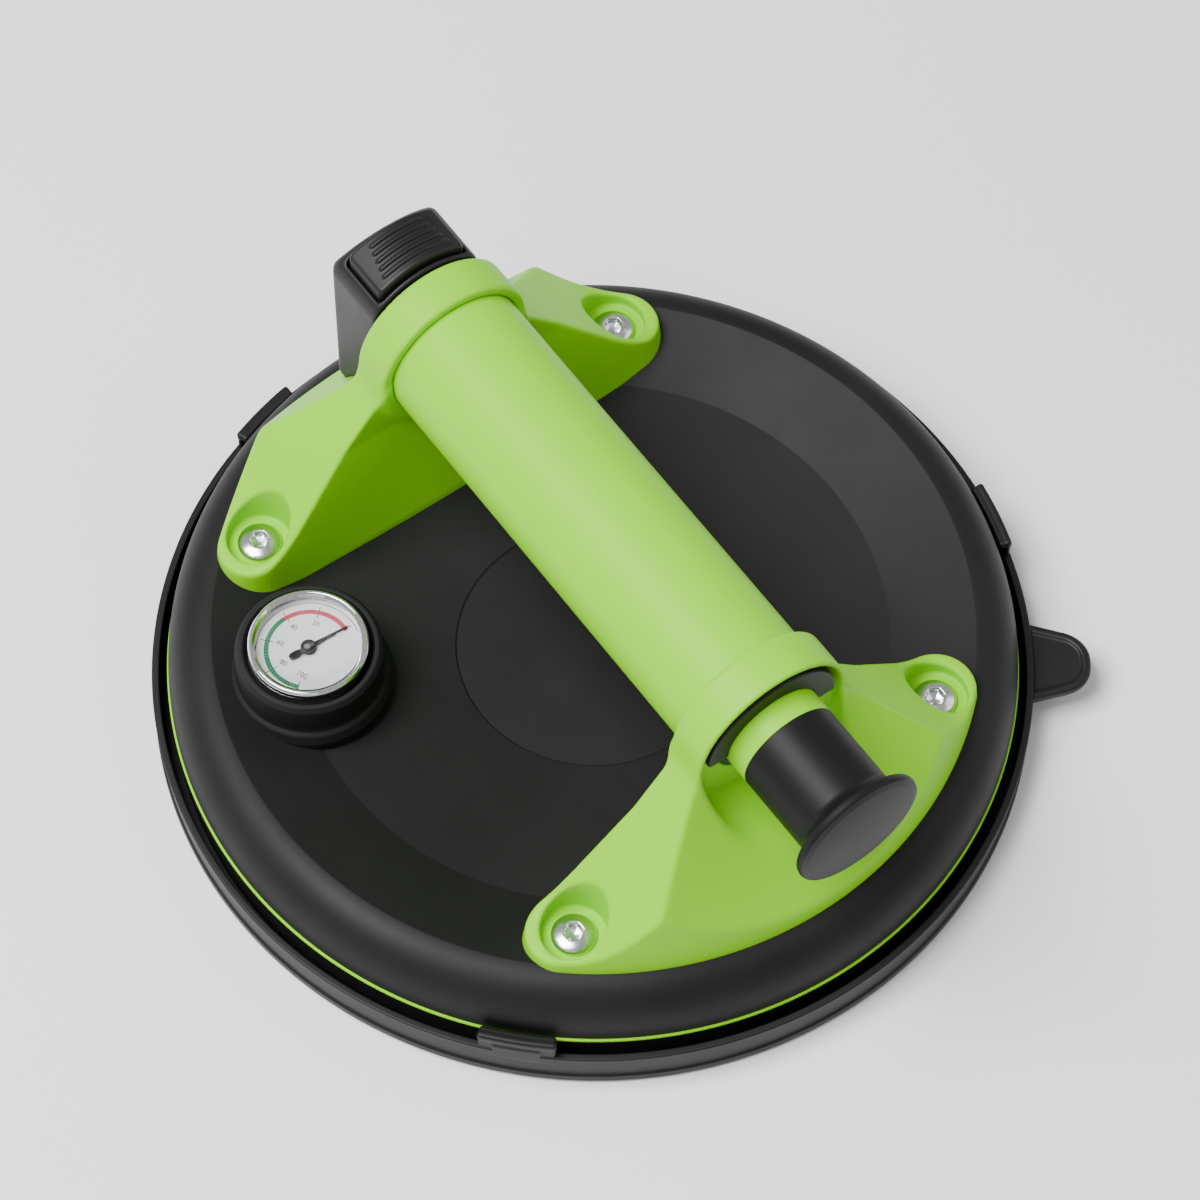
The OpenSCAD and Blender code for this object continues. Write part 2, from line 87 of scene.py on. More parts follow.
PLATE_LO, PLATE_HI = extent("mounting_plate")
GRIP_LO, GRIP_HI = extent("grip_tube")
KNOB_LO, KNOB_HI = extent("plunger_tube")
COVER_HI = extent("pad_cover")[1]
BOOT_LO, BOOT_HI = extent("gauge_boot")
BLOCK_LO, BLOCK_HI = extent("valve_block")
BUTTON_LO, BUTTON_HI = extent("release_button")
SCREWS_HI = extent("foot_screws")[1]
BAND_LO, BAND_HI = extent("plunger_band")
FOOT_HI = extent("front_foot")[1]

CUP_R = PLATE_HI[0]
PLATE_Z = PLATE_LO[2]
RIM_TOP = PLATE_HI[2]
RIM_W, RIM_H = 10.8, 13.0
RIM_PEAK_R = CUP_R - RIM_W
DISH_R, DISH_Z = 69.5, 23.0
DISC_R, DISC_Z = 32.0, 18.0
RING_IN_R = 93.5
AXIS_Z = middle("grip_tube")[2]
GRIP_R = (GRIP_HI[2] - GRIP_LO[2]) / 2
COVER_R = COVER_HI[0]
PLUNGER_R = (BAND_HI[2] - BAND_LO[2]) / 2
KNOB_R = (KNOB_HI[2] - KNOB_LO[2]) / 2
HEAD_R = 5.2
SCREW_X = SCREWS_HI[0] - HEAD_R
SCREW_Y = SCREWS_HI[1] - HEAD_R
SCREW_TOP = SCREWS_HI[2]
GAUGE = middle("gauge_boot")[:2]
BOOT_R = (BOOT_HI[0] - BOOT_LO[0]) / 2 - 2
FOOT_R = math.hypot(SCREW_X, SCREW_Y) + 9.45
EAR_R = 9.0
COLLAR_R = FOOT_HI[2] - AXIS_Z

# ---------------------------------------------------------------- mesh helpers


def new_piece(name, points, faces, body, slot, material, replaces=(), smooth=True):
    """A mesh piece from points in millimetres, riding on a body."""
    mesh = bpy.data.meshes.new(name)
    mesh.from_pydata((np.asarray(points, float) * MM).tolist(), [], [list(map(int, f)) for f in faces])
    mesh.validate()
    piece = bpy.data.objects.new(name, mesh)
    bpy.context.scene.collection.objects.link(piece)
    work = bmesh.new()
    work.from_mesh(mesh)
    bmesh.ops.remove_doubles(work, verts=work.verts, dist=1e-7)
    bmesh.ops.recalc_face_normals(work, faces=work.faces)
    work.to_mesh(mesh)
    work.free()
    mesh.polygons.foreach_set("use_smooth", [smooth] * len(mesh.polygons))
    mesh.materials.append(material)
    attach(piece, body)
    if replaces:
        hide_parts(*replaces)
    return piece


def weighted(piece):
    """Shading that keeps flats flat next to small rounds."""
    piece.modifiers.new("normals", "WEIGHTED_NORMAL").weight = 90
    return piece


def rounded(corners, steps=6):
    """Outline with its corners rounded. Each corner is (x, y) or (x, y, radius)."""
    out = []
    n = len(corners)
    for i, corner in enumerate(corners):
        p = np.array(corner[:2], float)
        radius = corner[2] if len(corner) > 2 else 0
        a = np.array(corners[i - 1][:2], float) - p
        b = np.array(corners[(i + 1) % n][:2], float) - p
        la, lb = np.linalg.norm(a), np.linalg.norm(b)
        if radius == 0 or la == 0 or lb == 0:
            out.append(p)
            continue
        a, b = a / la, b / lb
        half = math.acos(max(-1.0, min(1.0, float(a @ b)))) / 2
        reach = min(radius / math.tan(half), 0.49 * la, 0.49 * lb)
        r = reach * math.tan(half)
        centre = p + (a + b) / np.linalg.norm(a + b) * (r / math.sin(half))
        start, end = p + a * reach - centre, p + b * reach - centre
        turn = math.atan2(start[0] * end[1] - start[1] * end[0], float(start @ end))
        for k in range(steps + 1):
            t = turn * k / steps
            c, s = math.cos(t), math.sin(t)
            out.append(centre + np.array([start[0] * c - start[1] * s, start[0] * s + start[1] * c]))
    return np.array(out)


def revolve(outline, segments=192, start=0.0, end=360.0, centre=(0, 0), along="Z"):
    """Points and faces of an outline of (radius, height) turned about an upright or handle axis."""
    outline = np.asarray(outline, float)
    full = abs(end - start) > 359.9
    count = segments if full else segments + 1
    angles = np.radians(start + (end - start) * np.arange(count) / segments)
    r, h = outline[:, 0], outline[:, 1]
    x = np.cos(angles)[:, None] * r
    y = np.sin(angles)[:, None] * r
    z = np.broadcast_to(h, x.shape)
    if along == "Y":
        points = np.stack([x + centre[0], z, y + centre[1]], -1)
    else:
        points = np.stack([x + centre[0], y + centre[1], z], -1)
    m = len(outline)
    faces = []
    for i in range(segments):
        a, b = i * m, ((i + 1) % count) * m
        for j in range(m):
            k = (j + 1) % m
            if r[j] < 1e-6 and r[k] < 1e-6:
                continue
            faces.append((a + j, a + k, b + k, b + j))
    if not full:
        faces.append(tuple(range(m)))
        faces.append(tuple((count - 1) * m + j for j in range(m - 1, -1, -1)))
    return points.reshape(-1, 3), faces


def joined(*parts):
    """Several (points, faces) as one."""
    points, faces, base = [], [], 0
    for p, f in parts:
        points.append(np.asarray(p, float))
        faces += [tuple(base + i for i in face) for face in f]
        base += len(p)
    return np.concatenate(points), faces


# Rounded solids are made from distance fields: negative inside, in millimetres.


def blend_max(a, b, k):
    """Intersection whose edge is rounded by about k."""
    h = np.clip(0.5 - 0.5 * (b - a) / k, 0, 1)
    return b + (a - b) * h + k * h * (1 - h)


def blend_min(a, b, k):
    """Union whose inner corner is filled by about k."""
    return -blend_max(-a, -b, k)


def round_max(a, b, radius):
    """Intersection with a true round of that radius."""
    outer = np.hypot(np.maximum(a + radius, 0), np.maximum(b + radius, 0)) - radius
    return np.where((a > -radius) & (b > -radius), outer, np.maximum(a, b))


def box_field(x, y, z, lo, hi, radius):
    """Rounded box."""
    lo, hi = np.array(lo, float), np.array(hi, float)
    c, half = (lo + hi) / 2, (hi - lo) / 2 - radius
    q = [np.abs(v - c[i]) - half[i] for i, v in enumerate((x, y, z))]
    outside = np.sqrt(sum(np.maximum(v, 0) ** 2 for v in q))
    return outside + np.minimum(np.maximum(np.maximum(q[0], q[1]), q[2]), 0) - radius


def net(field, lo, hi, step):
    """Surface of a distance field as quads, with its points moved onto the surface."""
    axes = [np.arange(lo[i] - step, hi[i] + 2 * step, step) for i in range(3)]
    grid = np.meshgrid(*axes, indexing="ij")
    v = field(*grid)
    inside = v < 0
    cells = tuple(n - 1 for n in v.shape)
    total = np.zeros(cells + (3,))
    count = np.zeros(cells)
    corner = lambda o: tuple(slice(o[i], o[i] + cells[i]) for i in range(3))
    for axis in range(3):
        others = [i for i in range(3) if i != axis]
        for p in (0, 1):
            for q in (0, 1):
                a = [0, 0, 0]
                a[others[0]], a[others[1]] = p, q
                b = list(a)
                b[axis] = 1
                va, vb = v[corner(a)], v[corner(b)]
                cut = (va < 0) != (vb < 0)
                t = np.where(cut, va / np.where(cut, va - vb, 1), 0)
                for i in range(3):
                    total[..., i] += np.where(cut, a[i] + (t if i == axis else 0), 0)
                count += cut
    mixed = count > 0
    index = np.full(cells, -1)
    index[mixed] = np.arange(mixed.sum())
    where = np.argwhere(mixed)
    points = np.array([axes[i][0] for i in range(3)]) + (where + total[mixed] / count[mixed][:, None]) * step
    faces = []
    for axis in range(3):
        o1, o2 = [i for i in range(3) if i != axis]
        lower = [slice(None)] * 3
        upper = [slice(None)] * 3
        lower[axis], upper[axis] = slice(0, -1), slice(1, None)
        a, b = inside[tuple(lower)], inside[tuple(upper)]
        crossing = np.argwhere(a != b)
        keep = (crossing[:, o1] > 0) & (crossing[:, o2] > 0)
        keep &= (crossing[:, o1] < v.shape[o1] - 1) & (crossing[:, o2] < v.shape[o2] - 1)
        crossing = crossing[keep]
        ring = []
        for d1, d2 in ((-1, -1), (0, -1), (0, 0), (-1, 0)):
            at = crossing.copy()
            at[:, o1] += d1
            at[:, o2] += d2
            ring.append(index[at[:, 0], at[:, 1], at[:, 2]])
        faces.append(np.stack(ring, 1))
    faces = np.concatenate(faces)
    h = 0.02
    for _ in range(4):
        x, y, z = points.T
        d = field(x, y, z)
        g = np.stack([
            field(x + h, y, z) - field(x - h, y, z),
            field(x, y + h, z) - field(x, y - h, z),
            field(x, y, z + h) - field(x, y, z - h)], 1) / (2 * h)
        move = -d[:, None] * g / np.maximum((g * g).sum(1), 0.2)[:, None]
        length = np.linalg.norm(move, axis=1, keepdims=True)
        points = points + move * np.minimum(1, 0.4 * step / np.maximum(length, 1e-9))
    return points, faces


# ---------------------------------------------------------------- materials


class Nodes:
    """A material's node tree, with short calls for the nodes used here."""

    def __init__(self, name):
        self.material = bpy.data.materials.new(name)
        self.material.use_nodes = True
        self.tree = self.material.node_tree
        self.tree.nodes.clear()
        self.out = self.tree.nodes.new("ShaderNodeOutputMaterial")
        self.shader = self.tree.nodes.new("ShaderNodeBsdfPrincipled")
        self.link(self.shader.outputs[0], self.out.inputs["Surface"])
        self.coords = self.tree.nodes.new("ShaderNodeTexCoord").outputs["Object"]

    def link(self, a, b):
        self.tree.links.new(a, b)

    def set(self, **values):
        for key, value in values.items():
            self.shader.inputs[key.replace("_", " ")].default_value = value

    def noise(self, scale, detail=3, roughness=0.5, stretch=None):
        node = self.tree.nodes.new("ShaderNodeTexNoise")
        node.inputs["Scale"].default_value = scale
        node.inputs["Detail"].default_value = detail
        node.inputs["Roughness"].default_value = roughness
        source = self.coords
        if stretch:
            mapping = self.tree.nodes.new("ShaderNodeMapping")
            mapping.inputs["Scale"].default_value = stretch
            self.link(source, mapping.inputs["Vector"])
            source = mapping.outputs[0]
        self.link(source, node.inputs["Vector"])
        return node.outputs["Fac"]

    def ramp(self, source, stops):
        node = self.tree.nodes.new("ShaderNodeValToRGB")
        ramp = node.color_ramp
        while len(ramp.elements) < len(stops):
            ramp.elements.new(0.5)
        for element, (at, colour) in zip(ramp.elements, stops):
            element.position = at
            element.color = colour if len(colour) == 4 else (*colour, 1)
        self.link(source, node.inputs["Fac"])
        return node.outputs["Color"]

    def spread(self, source, low, high):
        """Maps 0..1 to low..high."""
        node = self.tree.nodes.new("ShaderNodeMapRange")
        node.inputs["To Min"].default_value = low
        node.inputs["To Max"].default_value = high
        self.link(source, node.inputs["Value"])
        return node.outputs["Result"]

    def bumps(self, *layers):
        """Bumps from (height source, strength, depth in mm), one upon the other."""
        normal = None
        for source, strength, depth in layers:
            node = self.tree.nodes.new("ShaderNodeBump")
            node.inputs["Strength"].default_value = strength
            node.inputs["Distance"].default_value = depth * MM
            self.link(source, node.inputs["Height"])
            if normal:
                self.link(normal, node.inputs["Normal"])
            normal = node.outputs["Normal"]
        self.link(normal, self.shader.inputs["Normal"])


def shades(colour, amount):
    """Darker and lighter neighbours of a colour."""
    dark = tuple(c * (1 - amount) for c in colour)
    light = tuple(min(1, c * (1 + amount) + 0.002) for c in colour)
    return dark, light


def moulded(name, colour, rough, gloss, grain=2500, depth=0.02, mottle=0.06):
    """Moulded plastic: cloudy colour, fine spark-eroded grain, faint waviness."""
    n = Nodes(name)
    cloud = n.noise(18, 4, 0.6)
    dark, light = shades(colour, mottle)
    n.link(n.ramp(cloud, [(0.3, dark), (0.7, light)]), n.shader.inputs["Base Color"])
    fine = n.noise(grain, 2, 0.7)
    smear = n.noise(60, 5, 0.65)
    n.link(n.spread(smear, *rough), n.shader.inputs["Roughness"])
    n.bumps((fine, 0.25, depth), (n.noise(120, 2), 0.12, 0.05))
    n.set(Specular_IOR_Level=gloss)
    return n.material


def metal(name, colour, rough=(0.18, 0.32), brushed=None, depth=0.01):
    """Metal with drawing or turning marks along a stretched noise."""
    n = Nodes(name)
    dark, light = shades(colour, 0.08)
    marks = n.noise(900, 3, 0.6, stretch=brushed or (1, 1, 1))
    n.link(n.ramp(marks, [(0.35, dark), (0.65, light)]), n.shader.inputs["Base Color"])
    n.link(n.spread(n.noise(200, 4), *rough), n.shader.inputs["Roughness"])
    n.bumps((marks, 0.2, depth),)
    n.set(Metallic=1.0)
    return n.material


def felt_look():
    """Matted fibres with a faint sheen."""
    n = Nodes("felt")
    fibres = n.noise(1800, 6, 0.8)
    stops = [(0.3, (0.62, 0.6, 0.55)), (0.7, (0.92, 0.9, 0.86))]
    n.link(n.ramp(fibres, stops), n.shader.inputs["Base Color"])
    n.bumps((fibres, 0.9, 0.15),)
    n.set(Roughness=0.95, Sheen_Weight=0.5)
    return n.material


def lens_look():
    """Clear plastic window."""
    n = Nodes("clear_window")
    n.link(n.spread(n.noise(90, 3), 0.02, 0.06), n.shader.inputs["Roughness"])
    n.set(Base_Color=(0.98, 0.99, 1, 1), Transmission_Weight=1.0, IOR=1.15, Specular_IOR_Level=0.6)
    return n.material


def printed(name, colour):
    """Ink or paint on the dial, with a slight print grain."""
    n = Nodes(name)
    dark, light = shades(colour, 0.05)
    n.link(n.ramp(n.noise(3000, 3), [(0.3, dark), (0.7, light)]), n.shader.inputs["Base Color"])
    n.link(n.spread(n.noise(400, 3), 0.35, 0.5), n.shader.inputs["Roughness"])
    return n.material


LIME = moulded("lime_plastic", (0.21, 0.58, 0.0003), (0.36, 0.46), 0.12, 2200, 0.012, 0.03)
PLATE = moulded("plate_plastic", (0.0045, 0.0045, 0.0047), (0.5, 0.62), 0.22, 2600, 0.03, 0.18)
COVER = moulded("cover_plastic", (0.0045, 0.0045, 0.0047), (0.42, 0.55), 0.25, 1800, 0.03, 0.18)
BLACK = moulded("black_plastic", (0.005, 0.005, 0.0052), (0.42, 0.55), 0.3, 2400, 0.025, 0.18)
PLUNGER = moulded("plunger_plastic", (0.005, 0.005, 0.0053), (0.4, 0.52), 0.14, 2600, 0.012, 0.14)
RUBBER = moulded("black_rubber", (0.0042, 0.0042, 0.0044), (0.6, 0.75), 0.25, 1500, 0.03, 0.25)
GREY = moulded("grey_nylon", (0.12, 0.12, 0.125), (0.45, 0.6), 0.4, 2400, 0.02, 0.1)
IVORY = moulded("white_bearing_plastic", (0.8, 0.78, 0.72), (0.3, 0.42), 0.4, 2400, 0.01, 0.04)
STEEL = metal("bright_steel", (0.66, 0.66, 0.68), (0.16, 0.3))
SPRING = metal("spring_wire", (0.5, 0.5, 0.52), (0.22, 0.35), depth=0.02)
BRASS = metal("turned_brass", (0.72, 0.5, 0.2), (0.2, 0.35), (1, 1, 8))
ALUMINIUM = metal("barrel_aluminium", (0.72, 0.73, 0.75), (0.2, 0.34), (6, 0.6, 6))
CHROME = metal("chrome_trim", (0.82, 0.82, 0.84), (0.04, 0.1), depth=0.002)
CUP_METAL = metal("gauge_metal", (0.5, 0.5, 0.52), (0.25, 0.4), (1, 1, 8))
FELT = felt_look()
LENS = lens_look()
DIAL = printed("dial_white", (0.86, 0.86, 0.85))
RED = printed("scale_red", (0.5, 0.03, 0.06))
GREEN = printed("scale_green", (0.02, 0.2, 0.09))
INK = printed("needle_black", (0.012, 0.012, 0.013))

# ---------------------------------------------------------------- cup


def rim_curve():
    """Top of the plate's rim, from the edge inwards."""
    a = np.radians(np.arange(0, 91, 4.5))
    return [(RIM_PEAK_R + RIM_W * math.cos(t), RIM_TOP - RIM_H + RIM_H * math.sin(t)) for t in a]


def plate_top(r):
    """Height of the plate's top surface at a radius."""
    r = np.asarray(r, float)
    out = np.maximum(r - RIM_PEAK_R, 0) / RIM_W
    rim = RIM_TOP - RIM_H + RIM_H * np.sqrt(np.clip(1 - out ** 2, 0, 1))
    slope = DISH_Z + (r - DISH_R) * (RIM_TOP - DISH_Z) / (RIM_PEAK_R - DISH_R)
    foot_of_dish = DISC_Z + 0.5
    dish = foot_of_dish + (r - DISC_R) * (DISH_Z - foot_of_dish) / (DISH_R - DISC_R)
    return np.where(r > RIM_PEAK_R, rim, np.where(r > DISH_R, slope, np.maximum(dish, DISC_Z)))


def make_plate():
    """Black plate: round rim, sloping dish and a slightly sunk disc in the middle."""
    wall = 4.3
    outline = [(0, PLATE_Z), (60, PLATE_Z, 0.5), (66, 18.5, 2), (86, 24.4, 1), (91, 24.6, 2),
               (CUP_R - wall, 20, 2), (CUP_R - wall, PLATE_Z, 0.3), (CUP_R, PLATE_Z, 0.3)]
    outline += rim_curve()[:-1]
    outline += [(RIM_PEAK_R, RIM_TOP, 1.2), (DISH_R, DISH_Z, 2.5), (DISC_R + 0.5, DISC_Z + 0.55, 0.15),
                (DISC_R + 0.1, DISC_Z + 0.05, 0.12), (0, DISC_Z)]
    shape = revolve(rounded(outline, 5), 288)
    weighted(new_piece("mounting_plate_shell", *shape, "lifter", "plate_plastic", PLATE, ["mounting_plate"]))


def make_pad():
    """Rubber pad: ringed underside, and a sealing lip with three grooves."""
    under, sole = 8.5, 2.35
    lip = [(80, under, 1.5), (85, under - 0.6, 1), (89.5, sole + 0.85, 1), (91, sole, 0.4)]
    grooves = []
    for r in (92.6, 94.6, 96.6):
        grooves += [(r - 0.5, sole, 0.15), (r, sole + 0.75, 0.3), (r + 0.5, sole, 0.15)]
    rings = []
    for r in range(12, 76, 8):
        rings += [(r - 0.8, under, 0.3), (r, under - 0.6, 0.4), (r + 0.8, under, 0.3)]
    outline = [(0, under)] + rings + lip + grooves
    outline += [(98.8, sole, 0.6), (CUP_R, sole + 1.05, 0.6), (CUP_R, PLATE_Z - 1, 0.2),
                (RING_IN_R, PLATE_Z - 1), (RING_IN_R, PLATE_Z), (0, PLATE_Z)]
    shape = revolve(rounded(outline, 4), 240)
    weighted(new_piece("rubber_pad_soft", *shape, "lifter", "black_rubber", RUBBER, ["rubber_pad"]))


def make_edge_ring():
    """Lime ring that shows as a line between the plate and the pad."""
    out = CUP_R + 0.4
    outline = [(RING_IN_R, PLATE_Z - 1), (out, PLATE_Z - 1, 0.35), (out, PLATE_Z, 0.35), (RING_IN_R, PLATE_Z)]
    shape = revolve(rounded(outline, 5), 288)
    weighted(new_piece("lime_edge_ring", *shape, "lifter", "lime_plastic", LIME, ["edge_ring"]))


def make_cover():
    """Cover: a lathe-turned tray with three clips and a pull tab."""
    inner, waist, top = COVER_R - 1.8, COVER_R - 0.5, 12
    outline = [(0, 0), (60, 0, 0.2), (60.4, 0.5, 0.2), (64, 0.5, 0.2), (64.4, 0, 0.2), (COVER_R - 1, 0, 1),
               (COVER_R, 1.2, 0.5), (COVER_R, 3.2, 0.5), (waist, 3.7, 0.3), (waist, 10.6, 0.3),
               (COVER_R, 11.1, 0.4), (COVER_R, top, 0.4), (inner, top, 0.4), (inner, 2.1, 0.8), (0, 2)]
    shell = revolve(rounded(outline, 4), 288)
    weighted(new_piece("pad_cover_shell", *shell, "cover", "cover_plastic", COVER, ["pad_cover"]))
    for i, angle in enumerate((-135.7, -15, 105)):
        weighted(clip(f"cover_clip_{i + 1}", math.radians(angle)))
    weighted(tab("cover_pull_tab", math.radians(-36)))


def clip(name, angle):
    """Clip of the cover: a short wall with a hooked lip over the cup's edge."""
    top = COVER_HI[2]
    radius = COVER_R - 0.3
    half, reach = 9, 11

    def field(x, y, z):
        r = np.hypot(x, y)
        across = (np.arctan2(y, x) - angle + math.pi) % (2 * math.pi) - math.pi
        across = across * COVER_R
        wall = box_field(r, across, z, (radius - 1.2, -half, 8), (radius, half, top), 0.5)
        hook = box_field(r, across, z, (COVER_R - 3.2, -half, top - 1.8), (radius, half, top), 0.6)
        rib = box_field(r, across, z, (radius - 1, -5.5, 9), (COVER_R - 0.02, 5.5, top - 3), 0.25)
        return blend_min(blend_min(wall, hook, 0.8), rib, 0.4)

    at = np.array([math.cos(angle), math.sin(angle)]) * 102.5
    lo = (at[0] - reach, at[1] - reach, 7)
    hi = (at[0] + reach, at[1] + reach, top + 0.5)
    return new_piece(name, *net(field, lo, hi, 0.34), "cover", "cover_plastic", COVER, ["pad_cover"])


def tab(name, angle):
    """Pull tab: a tapered tongue with a raised edge."""
    c, s = math.cos(angle), math.sin(angle)
    root, tip, root_half, taper = 102.6, 117.6, 10.6, 0.27
    slab_z, reach = 9.7, 14

    def outline(u, v, grow):
        half = root_half - (u - 102) * taper + grow
        return round_max(np.abs(v) - half, u - tip - grow, 5)

    def field(x, y, z):
        u, v = x * c + y * s, -x * s + y * c
        plan = np.maximum(outline(u, v, 0), root - u)
        slab = blend_max(plan, np.abs(z - slab_z) - 0.8, 0.5)
        edge = np.abs(outline(u, v, -1.1)) - 0.9
        rail = blend_max(np.maximum(edge, root + 0.4 - u), np.abs(z - slab_z - 0.2) - 1.2, 0.5)
        return blend_min(slab, rail, 0.7)

    at = np.array([c, s]) * 109.5
    lo, hi = (at[0] - reach, at[1] - reach, 8), (at[0] + reach, at[1] + reach, 11.6)
    return new_piece(name, *net(field, lo, hi, 0.36), "cover", "cover_plastic", COVER, ["pad_cover"])


# ---------------------------------------------------------------- handle

COLLAR_Y0, COLLAR_Y1 = 55.0, 65.4
SEAT_Z = SCREW_TOP - 3.3
SCOOP_R = 17.4
WEB_Y = 63.5
SPIGOT_R = 13.4
INNER_EDGE = 52.6
BLOCK_Z0 = 45.0
WALL_Z = 28.0
WALL_LEAN = 0.12
POCKET_R = 7.6
SHANK_R = 3.3


def wing_height(x):
    """Height of the foot's top surface across the handle: a slope that runs out to the ear."""
    slope = 70.5 - 1.19 * (np.abs(x) - 20.5)
    ear = 33.4 - 0.16 * (np.abs(x) - 52)
    return blend_max(slope, ear, 7.0)


def apron_height(y):
    """Height of the front slope, which runs down from the collar to the outer wall."""
    out = np.clip(-y - 60, 0, 40)
    return 79.5 - 1.92 * out + 0.0125 * out * out


def lip(y):
    """How far the collar's bore opens towards its outer face."""
    return 0.5 * np.clip(-y - 62.2, 0, 3.2)


def scoop_field(x, y, z):
    """Finger room under the plunger: a bowl that opens forwards and down."""
    out = np.clip(-y - WEB_Y, 0, 40)
    middle_z = AXIS_Z - 0.48 * out
    half = SCOOP_R + 0.18 * out
    u, v = np.abs(x) / (SCOOP_R + lip(y)), np.abs(z - middle_z) / half
    bowl = ((u ** 3 + v ** 3 + 1e-9) ** (1 / 3) - 1) * SCOOP_R
    bowl = np.maximum(bowl, z - AXIS_Z)
    level = np.hypot(x, z - AXIS_Z) - SCOOP_R
    return np.maximum(blend_min(bowl, level, 0.6), y + WEB_Y)


def foot_plan(x, y, lean):
    """Plan of the foot: inside the outer wall and beyond the inner edge, with round ears."""
    corner_y = INNER_EDGE + EAR_R
    corner_x = math.sqrt((FOOT_R - EAR_R) ** 2 - corner_y ** 2)
    u, v = np.abs(x) - corner_x, y + corner_y
    round_part = (u > 0) & (corner_x * v + corner_y * u > 0)
    straight = np.maximum(y + INNER_EDGE, np.hypot(x, y) - FOOT_R)
    return np.where(round_part, np.hypot(u, v) - EAR_R, straight) + lean


def foot_field(x, y, z):
    """The front foot; the rear one is its mirror image."""
    plan = foot_plan(x, y, WALL_LEAN * (np.clip(z, WALL_Z - 5, WALL_Z + 30) - WALL_Z))
    wing = (z - wing_height(x)) / 1.4
    apron = (z - apron_height(y)) / 1.65
    body = blend_max(wing, apron, 1.2)
    body = blend_max(body, plan, 0.8)
    # collar round the end of the grip
    ring = np.hypot(x, z - AXIS_Z) - COLLAR_R
    mid = (COLLAR_Y0 + COLLAR_Y1) / 2
    collar = round_max(ring, np.abs(y + mid) - (COLLAR_Y1 - COLLAR_Y0) / 2, 1.0)
    body = blend_min(body, collar, 4.5)
    body = np.maximum(body, z - AXIS_Z - COLLAR_R)
    body = blend_max(body, -scoop_field(x, y, z), 1.3)
    bore = np.hypot(x, z - AXIS_Z)
    upper_bore = np.maximum(bore - SCOOP_R - lip(y), AXIS_Z - z)
    body = blend_max(body, -upper_bore, 0.7)
    body = np.maximum(body, -np.maximum(bore - GRIP_R - 0.02, -y - 60.5))
    body = np.maximum(body, SPIGOT_R + 0.2 - bore)
    # screw pockets
    sx, sy = np.abs(x) - SCREW_X, y + SCREW_Y
    pocket = np.maximum(np.hypot(sx, sy) - POCKET_R, SEAT_Z + 0.9 - z)
    body = blend_max(body, -pocket, 0.8)
    body = np.maximum(body, SHANK_R - np.hypot(sx, sy))
    # the underside follows the plate, a little below its surface
    return np.maximum(body, (plate_top(np.hypot(x, y)) - 1.2 - z) * 0.9)


def rear_foot_field(x, y, z):
    """The rear foot, with room for the valve block in its scoop."""
    side = BLOCK_HI[0] + 0.25
    room = box_field(x, y, z, (-side, -120, BLOCK_Z0 - 0.2), (side, -COLLAR_Y1 - 0.1, 130), 0.6)
    return np.maximum(foot_field(x, y, z), -room)


def make_feet():
    """The front foot, and the rear foot mirrored to the other end."""
    step = 0.62
    reach = FOOT_HI[0] + 1
    lo, hi = (-reach, -93, 20), (reach, -48, FOOT_HI[2] + 1)
    points, faces = net(foot_field, lo, hi, step)
    new_piece("front_foot_shell", points, faces, "lifter", "lime_plastic", LIME, ["front_foot"])
    points, faces = net(rear_foot_field, lo, hi, step)
    new_piece("rear_foot_shell", points * (1, -1, 1), faces, "lifter", "lime_plastic", LIME, ["rear_foot"])


def make_grip():
    """Grip tube, with rings of points along it for even shading."""
    half = GRIP_HI[1]
    bore = GRIP_R - 2.0
    side = [(GRIP_R, y) for y in np.linspace(-half + 1, half - 1, 41)]
    outline = [(bore, -half), (GRIP_R, -half, 0.3)] + side + [(GRIP_R, half, 0.3), (bore, half)]
    shape = revolve(rounded(outline, 4), 160, centre=(0, AXIS_Z), along="Y")
    new_piece("grip_sleeve", *shape, "lifter", "lime_plastic", LIME, ["grip_tube"])


def screw(x, y):
    """Button-head screw with a hexagon socket."""
    around = 72
    thread_r, root_r, pitch, tip_z = 3.0, 2.55, 1.0, 17.0
    t = np.arange(around) * 2 * math.pi / around
    hexagon = 2.0 / np.cos((t + math.pi / 6) % (math.pi / 3) - math.pi / 6)
    top = SCREW_TOP
    dome_h = 1.9
    rings = [(0.02, top - 2.3), (hexagon * 0.96, top - 2.0), (hexagon, top - 1.9), (hexagon, top - 0.35),
             (hexagon * 0.5 + 1.3, top - 0.22), (2.65, top - 0.2)]
    for a in np.linspace(0.62, 1.5, 9):
        rings.append((HEAD_R * math.sin(a), top - dome_h + dome_h * math.cos(a)))
    rings += [(HEAD_R, SEAT_Z + 0.35), (HEAD_R - 0.3, SEAT_Z + 0.02), (thread_r, SEAT_Z + 0.02)]
    z = SEAT_Z - 0.4
    while z > tip_z + 0.2:
        rings += [(thread_r, z), (root_r, z - pitch / 2)]
        z -= pitch
    rings += [(2.4, tip_z), (0.02, tip_z)]
    points = [np.stack([x + r * np.cos(t), y + r * np.sin(t), 0 * t + h], 1) for r, h in rings]
    faces = []
    for i in range(len(rings) - 1):
        for k in range(around):
            n = (k + 1) % around
            faces.append((i * around + k, i * around + n, (i + 1) * around + n, (i + 1) * around + k))
    last = (len(rings) - 1) * around
    faces.append(tuple(range(around - 1, -1, -1)))
    faces.append(tuple(last + k for k in range(around)))
    return np.concatenate(points), faces


def make_screws():
    """The four foot screws as one piece."""
    spots = [(sx * SCREW_X, sy * SCREW_Y) for sx in (-1, 1) for sy in (-1, 1)]
    shape = joined(*[screw(x, y) for x, y in spots])
    weighted(new_piece("foot_screw_set", *shape, "lifter", "screw_steel", STEEL, ["foot_screws"]))


# ---------------------------------------------------------------- pump


BAND_DEPTH = 0.6


